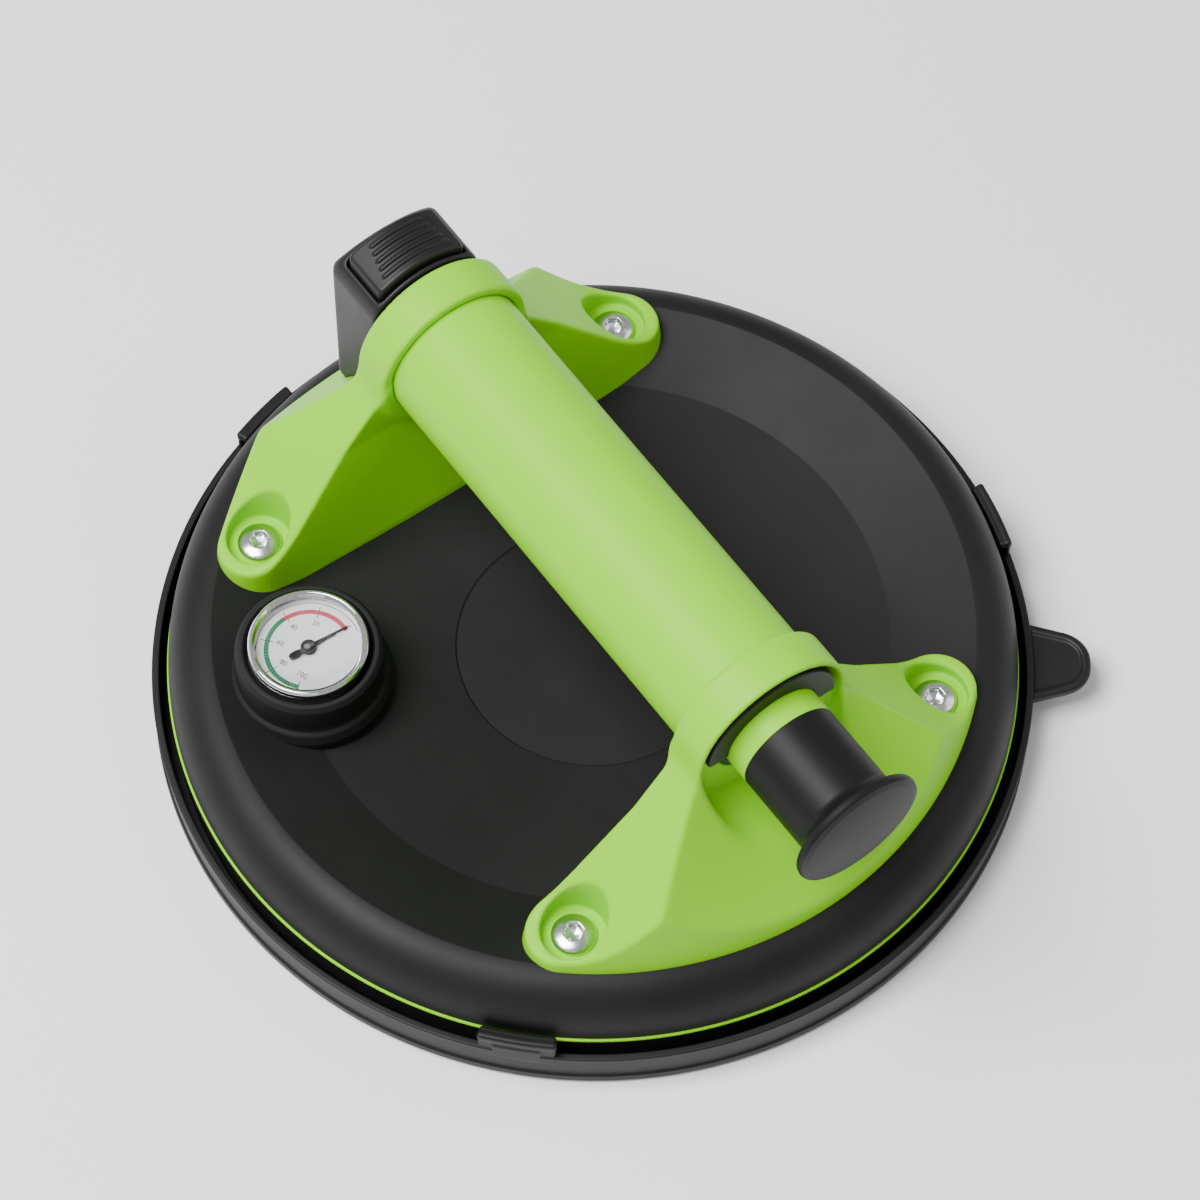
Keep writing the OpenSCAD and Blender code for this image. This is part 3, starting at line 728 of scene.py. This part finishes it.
def make_plunger():
    """Hollow plunger with a flared knob, and the lime mark band in its groove."""
    face = KNOB_LO[1]
    r = PLUNGER_R
    groove = r - BAND_DEPTH
    bore, bore_end = 9.5, -88
    crown = [(0, face), (6, face + 0.1), (11, face + 0.5), (KNOB_R - 1.9, face + 1.0, 0.5),
             (KNOB_R - 0.3, face + 1.5, 0.4), (KNOB_R, face + 2.3, 0.4), (KNOB_R - 0.2, face + 3.3, 0.4)]
    flare = [(r + (KNOB_R - 0.7 - r) * (1 - t) ** 2.2, face + 3.7 + 3.4 * t) for t in np.linspace(0, 1, 14)]
    lo, hi = BAND_LO[1], BAND_HI[1]
    body = [(r, lo - 0.05, 0.12), (groove, lo - 0.05), (groove, hi + 0.05), (r, hi + 0.05, 0.12)]
    back = [(r, KNOB_HI[1], 0.3), (bore, KNOB_HI[1]), (bore, bore_end), (0, bore_end)]
    shape = revolve(rounded(crown + flare + body + back, 5), 160, centre=(0, AXIS_Z), along="Y")
    weighted(new_piece("plunger_body", *shape, "plunger", "plunger_plastic", PLUNGER, ["plunger_tube"]))
    outline = [(groove, lo), (r, lo, 0.12), (r, hi, 0.12), (groove, hi)]
    band = revolve(rounded(outline, 4), 160, centre=(0, AXIS_Z), along="Y")
    weighted(new_piece("plunger_mark_band", *band, "plunger", "lime_plastic", LIME, ["plunger_band"]))


def make_bush():
    """Guide bush: a tube in the foot's web, with a half flange that shows over the plunger."""
    bore = PLUNGER_R + 0.05
    y0, y1 = -COLLAR_Y1 + 0.1, extent("guide_bush")[1][1]
    flange_y1 = -60.6
    tube = [(bore, -WEB_Y, 0.3), (SPIGOT_R, -WEB_Y, 0.3), (SPIGOT_R, y1, 0.3), (bore, y1, 0.3)]
    flange = [(bore, y0, 0.3), (GRIP_R, y0, 0.6), (GRIP_R, flange_y1, 0.2), (bore, flange_y1, 0.2)]
    shape = joined(
        revolve(rounded(tube, 4), 128, centre=(0, AXIS_Z), along="Y"),
        revolve(rounded(flange, 4), 72, 0.5, 179.5, centre=(0, AXIS_Z), along="Y"))
    weighted(new_piece("guide_bush_body", *shape, "lifter", "black_plastic", BLACK, ["guide_bush"]))


def coil(name, r_mid, r_wire, turns, start, length, axis, centre, material):
    """Coil spring with closed ends, along Y or Z from start."""
    around, sides = 28, 10
    steps = int(turns * around)
    t = np.linspace(0, turns, steps + 1)
    rise = np.clip((t - 1) / (turns - 2), 0, 1)
    along = r_wire + 2 * r_wire * (np.minimum(t, 1) + np.maximum(t - turns + 1, 0)) * 0.98
    along = along + rise * (length - 6 * r_wire)
    a = 2 * math.pi * t
    s = 2 * math.pi * np.arange(sides) / sides
    radial = r_mid + r_wire * np.cos(s)[None, :]
    u = np.cos(a)[:, None] * radial
    v = np.sin(a)[:, None] * radial
    w = start + along[:, None] + r_wire * np.sin(s)[None, :]
    if axis == "Y":
        points = np.stack([centre[0] + u, w, centre[1] + v], -1).reshape(-1, 3)
    else:
        points = np.stack([centre[0] + u, centre[1] + v, w], -1).reshape(-1, 3)
    faces = [tuple(range(sides)), tuple(steps * sides + k for k in range(sides))]
    for i in range(steps):
        for k in range(sides):
            n = (k + 1) % sides
            faces.append((i * sides + k, i * sides + n, (i + 1) * sides + n, (i + 1) * sides + k))
    return new_piece(name, points, faces, "lifter", "spring_steel", material, [name.replace("_wire", "")])


def make_springs():
    """The three springs, each as long as its part in the CAD model."""
    lo, hi = extent("pump_spring")
    full = hi[1] - lo[1]
    pump = coil("pump_spring_wire", 7, 0.6, 18, lo[1], full, "Y", (0, AXIS_Z), SPRING)
    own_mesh(pump)
    lo, hi = extent("button_spring")
    release_y = middle("valve_stem")[1]
    full = hi[2] - lo[2]
    button = coil("button_spring_wire", 3.6, 0.4, 5, lo[2], full, "Z", (0, release_y), SPRING)
    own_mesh(button)
    lo, hi = extent("check_spring")
    full = hi[1] - lo[1]
    centre = (0, middle("check_ball")[2])
    check = coil("check_spring_wire", 1.9, 0.25, 4, lo[1], full, "Y", centre, SPRING)
    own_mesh(check)


# ---------------------------------------------------------------- valve block and button


BLOCK_HALF = (BLOCK_HI[0] - BLOCK_LO[0]) / 2
BLOCK_Y0 = 65.8
RELEASE_Y = middle("valve_stem")[1]
RISER_Y = middle("air_riser")[1]
WELL_R = 5.2


def block_field(x, y, z):
    """Valve block: an arched box with a slanted front, a window for the button and two spigots."""
    sides = np.abs(x) - BLOCK_HALF
    arch = np.hypot(x, np.maximum(z - AXIS_Z, 0)) - 20
    section = round_max(sides, arch, 2.0)
    rear = y - BLOCK_HI[1] + np.maximum(z - 88, 0) * 0.3
    # the front slants back below the handle, down to the block's foot
    bottom_y, slant_z = 77.5, 68
    run, rise = bottom_y - BLOCK_Y0, slant_z - BLOCK_Z0
    slant = (-(z - BLOCK_Z0) * run - (y - bottom_y) * rise) / math.hypot(run, rise)
    front = np.maximum(BLOCK_Y0 - y, blend_max(BLOCK_Z0 - z, slant, 1.5))
    shell = round_max(round_max(section, rear, 2.2), front, 1.0)
    b0, b1 = BUTTON_LO, BUTTON_HI
    window = box_field(x, y, z, (b0[0] - 0.4, b0[1] - 0.4, 83), (b1[0] + 0.4, b1[1] + 0.4, 110), 1.0)
    shell = blend_max(shell, -window, 0.5)
    shell = np.maximum(shell, -np.maximum(np.hypot(x, y - RELEASE_Y) - WELL_R, 79 - z))
    spigot = np.maximum(np.hypot(x, z - AXIS_Z) - SPIGOT_R, np.maximum(54 - y, y - 66.5))
    riser = np.hypot(x, y - RISER_Y)
    nipple = np.maximum(np.maximum(riser - 6, 4.5 - riser), np.maximum(50 - z, z - 64))
    return np.minimum(np.minimum(shell, spigot), nipple)


def button_field(x, y, z):
    """Button cap: a curved top with five finger ribs, each shorter than the one before."""
    b0, b1 = BUTTON_LO, BUTTON_HI
    top_r = 21.9
    r = np.hypot(x, z - AXIS_Z)
    base = b0[2]
    plan = round_max(np.abs(x) - b1[0], np.abs(y - (b0[1] + b1[1]) / 2) - (b1[1] - b0[1]) / 2, 1.2)
    body = round_max(plan, r - top_r, 0.8)
    body = round_max(body, base - z, 0.5)
    ribs = np.full_like(body, 1e3)
    for i in range(5):
        at = b0[1] + 2.45 + 2.0 * i
        past_end = np.maximum(np.abs(x) - (8.6 - 0.5 * i), 0)
        ribs = np.minimum(ribs, np.sqrt((y - at) ** 2 + (r - top_r - 0.1) ** 2 + past_end ** 2) - 0.48)
    body = blend_min(body, ribs, 0.25)
    well = np.maximum(np.hypot(x, y - RELEASE_Y) - WELL_R, z - base - 3.5)
    return np.maximum(body, -well)


def make_release():
    """Valve block and release button."""
    step = 0.42
    lo, hi = BLOCK_LO - 0.5, BLOCK_HI + 0.5
    shape = net(block_field, lo, hi, step)
    new_piece("valve_block_shell", *shape, "lifter", "black_plastic", BLACK, ["valve_block"])
    step = 0.22
    shape = net(button_field, BUTTON_LO - 0.5, BUTTON_HI + 0.5, step)
    new_piece("release_button_cap", *shape, "button", "black_plastic", BLACK, ["release_button"])


# ---------------------------------------------------------------- gauge

DIAL_Z = extent("gauge_dial")[1][2]
LENS_LO, LENS_HI = extent("gauge_lens")
BEZEL_LO, BEZEL_HI = extent("gauge_bezel")
NEEDLE_ANGLE = -3.0
SWEEP = 225.0
READ_ANGLE = -62
SCALE_R = (9.0, 10.1)


def on_dial(outline_r, start, end, z, segments=120):
    """Thin printed arc on the dial."""
    r0, r1 = outline_r
    return revolve([(r0, z), (r1, z), (r1, z + 0.03), (r0, z + 0.03)], segments, start, end, GAUGE)


def tick(angle, r0, r1, width, z):
    """Thin printed mark that points at the middle of the dial."""
    a = math.radians(angle)
    u, v = np.array([math.cos(a), math.sin(a)]), np.array([-math.sin(a), math.cos(a)]) * width / 2
    base = [GAUGE + u * r0 - v, GAUGE + u * r1 - v, GAUGE + u * r1 + v, GAUGE + u * r0 + v]
    points = [(*p, z) for p in base] + [(*p, z + 0.035) for p in base]
    faces = [(3, 2, 1, 0), (4, 5, 6, 7), (0, 1, 5, 4), (1, 2, 6, 5), (2, 3, 7, 6), (3, 0, 4, 7)]
    return points, faces


def number(text, angle, radius, size):
    """Generic number printed on the dial, read from outside the front of the tool."""
    curve = bpy.data.curves.new("number", "FONT")
    curve.body = text
    curve.size = size
    curve.extrude = 0.015
    curve.align_x = "CENTER"
    curve.align_y = "CENTER"
    curve.resolution_u = 3
    holder = bpy.data.objects.new("number", curve)
    bpy.context.scene.collection.objects.link(holder)
    bpy.context.view_layer.update()
    mesh = bpy.data.meshes.new_from_object(holder)
    flat = np.array([v.co for v in mesh.vertices])
    faces = [tuple(p.vertices) for p in mesh.polygons]
    bpy.data.objects.remove(holder)
    turn = math.radians(READ_ANGLE)
    c, s = math.cos(turn), math.sin(turn)
    a = math.radians(angle)
    x = flat[:, 0] * c - flat[:, 1] * s + GAUGE[0] + radius * math.cos(a)
    y = flat[:, 0] * s + flat[:, 1] * c + GAUGE[1] + radius * math.sin(a)
    return np.stack([x, y, flat[:, 2] + DIAL_Z + 0.02], 1), faces


def make_gauge():
    """Rubber boot, chrome ring, window and dial of the gauge."""
    z, r = BOOT_HI[2], BOOT_R
    boot = [(7.4, 19.8), (r + 2, 19.8), (r + 2, 25.6, 1.2), (r + 1.2, 27.8, 1.2), (r + 0.2, 28.6, 0.6),
            (r, 29.6, 0.6), (r, 36.6, 0.8), (r - 0.9, z, 0.6), (r - 1.9, z, 0.4), (r - 2.4, z - 0.9, 0.4),
            (r - 2.6, 35.6, 0.5), (14.0, 35.3, 0.3), (13.75, 34, 0.2), (13.75, 28), (7.4, 28)]
    shape = revolve(rounded(boot, 5), 160, centre=GAUGE)
    weighted(new_piece("gauge_rubber_boot", *shape, "lifter", "black_rubber", RUBBER, ["gauge_boot"]))

    r1 = (BEZEL_HI[0] - BEZEL_LO[0]) / 2
    b0, b1 = BEZEL_LO[2], BEZEL_HI[2]
    bezel = [(12.3, LENS_HI[2] + 0.06, 0.1), (13.0, LENS_HI[2] + 0.06, 0.05), (13.0, b0, 0.1), (r1, b0, 0.2),
             (r1, b1 - 0.6, 0.5), (r1 - 0.5, b1, 0.35), (r1 - 1.0, b1, 0.3), (12.3, LENS_HI[2] + 0.4, 0.15)]
    shape = revolve(rounded(bezel, 6), 160, centre=GAUGE)
    weighted(new_piece("gauge_chrome_ring", *shape, "lifter", "chrome_trim", CHROME, ["gauge_bezel"]))

    low, high = LENS_LO[2], LENS_HI[2]
    crown = [(12.9 * k, high - 0.3 * k * k) for k in np.linspace(1, 0, 14)]
    lens = [(0, low), (12.9, low)] + crown
    shape = revolve(lens, 128, centre=GAUGE)
    new_piece("gauge_window", *shape, "lifter", "lens_clear", LENS, ["gauge_lens"])

    face = [(0.9, DIAL_Z - 0.6), (12.9, DIAL_Z - 0.6), (12.9, DIAL_Z, 0.1), (0.9, DIAL_Z, 0.1)]
    shape = revolve(rounded(face, 3), 128, centre=GAUGE)
    weighted(new_piece("gauge_dial_face", *shape, "lifter", "dial_white", DIAL, ["gauge_dial"]))
    make_scale()
    make_needle()


def make_scale():
    """Printed scale: two coloured arcs, marks, a border and generic numbers."""
    z = DIAL_Z - 0.005
    zero = NEEDLE_ANGLE
    split, end = zero + 0.42 * SWEEP, zero + SWEEP
    new_piece("scale_red_arc", *on_dial(SCALE_R, zero - 3, split, z), "lifter", "dial_white", RED,
              ["gauge_dial"], smooth=False)
    new_piece("scale_green_arc", *on_dial(SCALE_R, split, end, z), "lifter", "dial_white", GREEN,
              ["gauge_dial"], smooth=False)
    fine = [tick(zero + SWEEP * i / 50, *SCALE_R, 0.13, z) for i in range(51)]
    long = [tick(zero + SWEEP * i / 5, 8.1, 11.1, 0.17, z) for i in range(6)]
    new_piece("scale_ticks", *joined(*fine, *long), "lifter", "dial_white", INK, ["gauge_dial"], smooth=False)
    outer = on_dial((11.75, 11.9), zero - 10, end + 10, z)
    new_piece("scale_border", *outer, "lifter", "dial_white", INK, ["gauge_dial"], smooth=False)
    labels = [number(str(20 * i), zero + SWEEP * i / 5, 6.6, 1.75) for i in range(6)]
    new_piece("scale_numbers", *joined(*labels), "lifter", "dial_white", INK, ["gauge_dial"], smooth=False)


def make_needle():
    """Pointer with a tail and a round hub."""
    lo, hi = extent("gauge_needle")
    z0, z1 = lo[2], lo[2] + 0.4
    a = math.radians(NEEDLE_ANGLE)
    along, across = np.array([math.cos(a), math.sin(a)]), np.array([-math.sin(a), math.cos(a)])
    half = [(-5.0, 0.45), (-4.6, 0.85), (-3.0, 0.9), (-1.6, 0.55), (0, 0.75), (1.8, 0.55),
            (4, 0.4), (10.3, 0.08)]
    outline = half + [(u, -v) for u, v in reversed(half)]
    flat = [GAUGE + along * u + across * v for u, v in outline]
    n = len(flat)
    blade_points = [(*p, z0) for p in flat] + [(*p, z1) for p in flat]
    blade_faces = [tuple(range(n - 1, -1, -1)), tuple(range(n, 2 * n))]
    blade_faces += [(i, (i + 1) % n, n + (i + 1) % n, n + i) for i in range(n)]
    hub_in, hub_out, hub_top = 0.7, 1.85, hi[2] - 0.1
    ring = [(hub_in, z0), (hub_out, z0, 0.1), (hub_out, hub_top, 0.15), (hub_in, hub_top, 0.1)]
    hub = revolve(rounded(ring, 4), 64, centre=GAUGE)
    shape = joined((blade_points, blade_faces), hub)
    piece = new_piece("gauge_pointer", *shape, "needle", "needle_black", INK, ["gauge_needle"])
    bevel = piece.modifiers.new("edge", "BEVEL")
    bevel.width = 0.00006
    bevel.segments = 2
    bevel.limit_method = "ANGLE"
    weighted(piece)


# ---------------------------------------------------------------- carried-over CAD pieces

KEPT = {
    "threaded_inserts": BRASS, "pump_barrel": ALUMINIUM, "wiper_seal": RUBBER, "head_oring": RUBBER,
    "valve_cage": STEEL, "air_riser": GREY, "filter_holder": BLACK, "felt_filter": FELT,
    "piston_head": GREY, "piston_cup": RUBBER, "piston_guide_ring": IVORY, "check_ball": STEEL,
    "valve_stem": STEEL, "release_poppet": RUBBER, "gauge_case": CUP_METAL, "gauge_stem": BRASS,
    "stem_oring": RUBBER, "bourdon_tube": BRASS, "gauge_movement": BRASS, "needle_shaft": STEEL,
}


def finish_cad_pieces():
    """Gives each CAD piece that is kept its material."""
    for name, material in KEPT.items():
        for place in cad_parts[name].material_slots:
            place.material = material


# ---------------------------------------------------------------- stage, light and camera


def make_stage():
    """Plain pale floor."""
    mesh = bpy.data.meshes.new("floor")
    half = 3.0
    corners = [(-half, -half, 0), (half, -half, 0), (half, half, 0), (-half, half, 0)]
    mesh.from_pydata(corners, [], [(0, 1, 2, 3)])
    floor = bpy.data.objects.new("floor", mesh)
    bpy.context.scene.collection.objects.link(floor)
    n = Nodes("floor_paint")
    stops = [(0.3, (0.8, 0.8, 0.8)), (0.7, (0.83, 0.83, 0.83))]
    n.link(n.ramp(n.noise(3, 2), stops), n.shader.inputs["Base Color"])
    n.set(Roughness=0.75)
    mesh.materials.append(n.material)


def lamp(name, at, size, power, target=(0, 0, 0.04)):
    """Soft box in metres and watts, turned to the target."""
    data = bpy.data.lights.new(name, "AREA")
    data.shape = "RECTANGLE"
    data.size, data.size_y = size
    data.energy = power
    light = bpy.data.objects.new(name, data)
    bpy.context.scene.collection.objects.link(light)
    light.location = at
    light.rotation_mode = "QUATERNION"
    light.rotation_quaternion = (Vector(target) - Vector(at)).to_track_quat("-Z", "Y")


def make_lights():
    """White surroundings, a large soft box high on the back left, and two faint ones."""
    world = bpy.data.worlds.new("studio")
    bpy.context.scene.world = world
    world.use_nodes = True
    background = world.node_tree.nodes["Background"]
    background.inputs["Color"].default_value = (1, 1, 1, 1)
    background.inputs["Strength"].default_value = 0.45
    lamp("overhead", (-0.5, 0.15, 1.1), (0.7, 0.7), 33)
    lamp("side", (0.95, -0.5, 0.8), (0.9, 0.9), 4)
    lamp("front", (-0.8, -0.8, 0.7), (0.9, 0.6), 0.8)


def make_camera():
    """Looks down on the front left of the tool, from about a metre away."""
    data = bpy.data.cameras.new("camera")
    data.sensor_width = 36
    data.lens = 138
    camera = bpy.data.objects.new("camera", data)
    bpy.context.scene.collection.objects.link(camera)
    azimuth, elevation, roll, distance = math.radians(-37.4), math.radians(60), math.radians(1.5), 1.0585
    back = Vector((math.sin(azimuth) * math.cos(elevation), -math.cos(azimuth) * math.cos(elevation),
                   math.sin(elevation)))
    lo, hi = (Vector(corner) for corner in CAD_BOX)
    target = (lo + hi) / 2 + Vector((0, -0.002, -0.007))
    target.x = 0
    camera.location = target + back * distance
    camera.rotation_mode = "QUATERNION"
    camera.rotation_quaternion = (-back).to_track_quat("-Z", "Y") @ Quaternion((0, 0, 1), roll)
    bpy.context.scene.camera = camera


# ---------------------------------------------------------------- everything

make_camera()
make_lights()
make_stage()
make_plate()
make_pad()
make_edge_ring()
make_cover()
make_feet()
make_grip()
make_screws()
make_plunger()
make_bush()
make_springs()
make_release()
make_gauge()
finish_cad_pieces()
